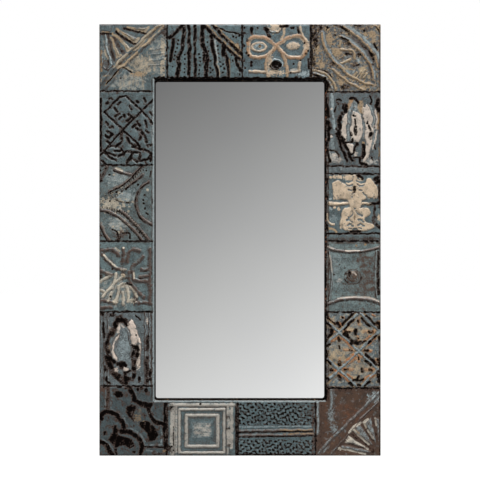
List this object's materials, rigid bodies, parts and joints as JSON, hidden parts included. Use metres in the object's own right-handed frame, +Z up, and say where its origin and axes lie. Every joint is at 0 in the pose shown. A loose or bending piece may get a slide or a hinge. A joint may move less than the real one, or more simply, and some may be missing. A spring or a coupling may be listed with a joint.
{
  "type": "tin-clad wall mirror",
  "caption": "Rectangular wall mirror in a wide flat wooden frame clad with folded, distressed pressed-tin tiles, with a hardboard back, turn buttons and D-ring hangers.",
  "frame": {"origin": "centre of the wall plane, where the backs of the four bumpers rest", "axes": "+X to the right as seen from the front, +Z up the mirror's height, +Y towards the wall; the front faces -Y"},
  "size_m": [0.597, 0.0329, 0.915],
  "materials": {
    "pressed_tin": "distressed blue-grey paint over cream paint and rusty tin",
    "frame_wood": "unfinished pine",
    "tenon_wood": "beech",
    "mirror": "silvered glass",
    "backing_card": "grey-brown card",
    "hardboard": "smooth hardboard",
    "zinc_steel": "zinc plated",
    "nail_steel": "dark steel",
    "bumper_rubber": "black rubber"
  },
  "bodies": {
    "frame": {"backing_board": "hardboard", "backing_card": "backing_card", "corner_tenons": "tenon_wood", "hanger_screws": "zinc_steel", "hanger_strap_left": "zinc_steel", "hanger_strap_right": "zinc_steel", "mirror_glass": "mirror", "rail_bottom": "frame_wood", "rail_top": "frame_wood", "stile_left": "frame_wood", "stile_right": "frame_wood", "tile_bottom_1": "pressed_tin", "tile_bottom_2": "pressed_tin", "tile_bottom_left": "pressed_tin", "tile_bottom_right": "pressed_tin", "tile_left_1": "pressed_tin", "tile_left_2": "pressed_tin", "tile_left_3": "pressed_tin", "tile_left_4": "pressed_tin", "tile_nails": "nail_steel", "tile_right_1": "pressed_tin", "tile_right_2": "pressed_tin", "tile_right_3": "pressed_tin", "tile_right_4": "pressed_tin", "tile_top_1": "pressed_tin", "tile_top_2": "pressed_tin", "tile_top_left": "pressed_tin", "tile_top_right": "pressed_tin", "turn_button_screws": "zinc_steel", "wall_bumpers": "bumper_rubber"},
    "turn_button_1": {"turn_button_1": "zinc_steel"},
    "turn_button_2": {"turn_button_2": "zinc_steel"},
    "turn_button_3": {"turn_button_3": "zinc_steel"},
    "turn_button_4": {"turn_button_4": "zinc_steel"},
    "turn_button_5": {"turn_button_5": "zinc_steel"},
    "turn_button_6": {"turn_button_6": "zinc_steel"},
    "hanger_ring_left": {"hanger_ring_left": "zinc_steel"},
    "hanger_ring_right": {"hanger_ring_right": "zinc_steel"}
  },
  "joints": [
    {"name": "turn_button_1_turn", "type": "hinge", "parent": "frame", "child": "turn_button_1", "pos_m": [-0.2055, -0.00525, 0.2], "axis": [0, 1, 0], "continuous": true},
    {"name": "turn_button_2_turn", "type": "hinge", "parent": "frame", "child": "turn_button_2", "pos_m": [0, -0.00525, 0.3645], "axis": [0, 1, 0], "continuous": true},
    {"name": "turn_button_3_turn", "type": "hinge", "parent": "frame", "child": "turn_button_3", "pos_m": [0.2055, -0.00525, 0.2], "axis": [0, 1, 0], "continuous": true},
    {"name": "turn_button_4_turn", "type": "hinge", "parent": "frame", "child": "turn_button_4", "pos_m": [0.2055, -0.00525, -0.2], "axis": [0, 1, 0], "continuous": true},
    {"name": "turn_button_5_turn", "type": "hinge", "parent": "frame", "child": "turn_button_5", "pos_m": [0, -0.00525, -0.3645], "axis": [0, 1, 0], "continuous": true},
    {"name": "turn_button_6_turn", "type": "hinge", "parent": "frame", "child": "turn_button_6", "pos_m": [-0.2055, -0.00525, -0.2], "axis": [0, 1, 0], "continuous": true},
    {"name": "hanger_ring_left_swing", "type": "hinge", "parent": "frame", "child": "hanger_ring_left", "pos_m": [-0.246, -0.00342, 0.25], "axis": [0, 0, 1], "range_deg": [0, 170]},
    {"name": "hanger_ring_right_swing", "type": "hinge", "parent": "frame", "child": "hanger_ring_right", "pos_m": [0.246, -0.00342, 0.25], "axis": [0, 0, -1], "range_deg": [0, 170]}
  ]
}
